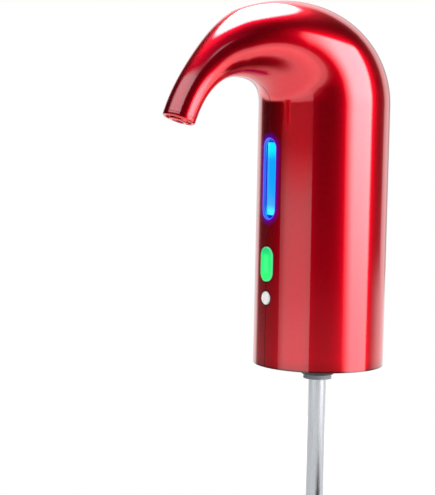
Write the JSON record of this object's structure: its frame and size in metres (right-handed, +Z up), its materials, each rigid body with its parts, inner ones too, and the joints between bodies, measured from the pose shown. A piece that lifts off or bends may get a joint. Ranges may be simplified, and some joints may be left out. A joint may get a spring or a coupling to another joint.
{
  "type": "electric wine aerator",
  "caption": "Cane-shaped battery dispenser head for a bottle's neck: a pump presses air in, and the drink rises through a telescopic tube to the curved spout.",
  "frame": {"origin": "on the body's axis in the plane of the bottom rim, at the middle of the stopper's lowest sealing land", "axes": "+Z up along the body's axis, -X towards the spout and the buttons, Y across the split of the two shells"},
  "size_m": [0.1145, 0.06, 0.2635],
  "materials": {
    "red_lacquer": "metallic lacquer, gloss",
    "blue_window": "translucent, lit from behind",
    "green_button": "translucent, lit from behind",
    "white_button": "satin",
    "steel": "brushed",
    "zinc": "zinc plated",
    "base_plastic": "fine texture",
    "inner_plastic": "moulded",
    "adapter_plastic": "moulded",
    "pump_plastic": "moulded",
    "frame_plastic": "moulded",
    "silicone": "matte silicone",
    "hose_silicone": "translucent silicone",
    "circuit": "solder mask",
    "chip": "moulded",
    "led": "clear",
    "switch": "moulded",
    "plunger": "moulded",
    "reflector": "white",
    "wire": "insulation",
    "cell": "can",
    "wrap": "heat-shrink",
    "nickel": "strip",
    "magnet": "sintered",
    "bronze": "sintered",
    "windings": "lacquered core",
    "copper": "segments"
  },
  "bodies": {
    "housing": {"left_shell": "red_lacquer", "right_shell": "red_lacquer", "light_window": "blue_window", "spout_ring": "red_lacquer", "aerator_nozzle": "adapter_plastic", "base_plate": "base_plastic", "base_spacers": "inner_plastic", "neck_cup": "base_plastic", "base_screws": "zinc", "lip_gasket": "silicone", "stopper": "silicone", "bottle_adapter": "adapter_plastic", "dip_seal": "silicone", "dip_tube_upper": "steel", "inner_frame": "inner_plastic", "frame_screws": "zinc", "top_bracket": "inner_plastic", "bracket_screws": "zinc", "control_board": "circuit", "board_screws": "zinc", "board_leds": "led", "board_chips": "chip", "power_switch": "switch", "mode_switch": "switch", "light_box": "reflector", "usb_board": "circuit", "usb_port": "steel", "usb_leads": "wire", "battery": "cell", "battery_sleeve": "wrap", "battery_tabs": "nickel", "motor_can": "zinc", "motor_end_bell": "inner_plastic", "motor_bushes": "bronze", "motor_magnets": "magnet", "motor_leads": "wire", "pump_case": "pump_plastic", "swing_frame": "frame_plastic", "diaphragm": "silicone", "valve_plate": "pump_plastic", "pump_cap": "pump_plastic", "pump_screws": "zinc", "air_hose": "hose_silicone", "air_hose_lower": "hose_silicone", "check_valve": "pump_plastic", "check_flap": "silicone", "wine_hose": "hose_silicone"},
    "power_button": {"power_button": "green_button", "power_plunger": "plunger"},
    "mode_button": {"mode_button": "white_button", "mode_plunger": "plunger"},
    "rotor": {"motor_shaft": "steel", "armature": "windings", "commutator": "copper", "eccentric": "pump_plastic", "drive_pin": "steel"},
    "tube_middle": {"dip_tube_middle": "steel"},
    "tube_lower": {"dip_tube_lower": "steel"}
  },
  "joints": [
    {"name": "power_button_press", "type": "slide", "parent": "housing", "child": "power_button", "axis": [1, 0, 0], "range_m": [0, 0.0008], "stiffness_N_per_m": 1500, "springref_m": -0.0004},
    {"name": "mode_button_press", "type": "slide", "parent": "housing", "child": "mode_button", "axis": [1, 0, 0], "range_m": [0, 0.0008], "stiffness_N_per_m": 1500, "springref_m": -0.0004},
    {"name": "rotor_spin", "type": "hinge", "parent": "housing", "child": "rotor", "pos_m": [0.016, 0, 0.05], "axis": [0, 0, 1], "continuous": true},
    {"name": "tube_middle_slide", "type": "slide", "parent": "housing", "child": "tube_middle", "axis": [0, 0, -1], "range_m": [0, 0.078]},
    {"name": "tube_lower_slide", "type": "slide", "parent": "tube_middle", "child": "tube_lower", "axis": [0, 0, -1], "range_m": [0, 0.078]}
  ]
}
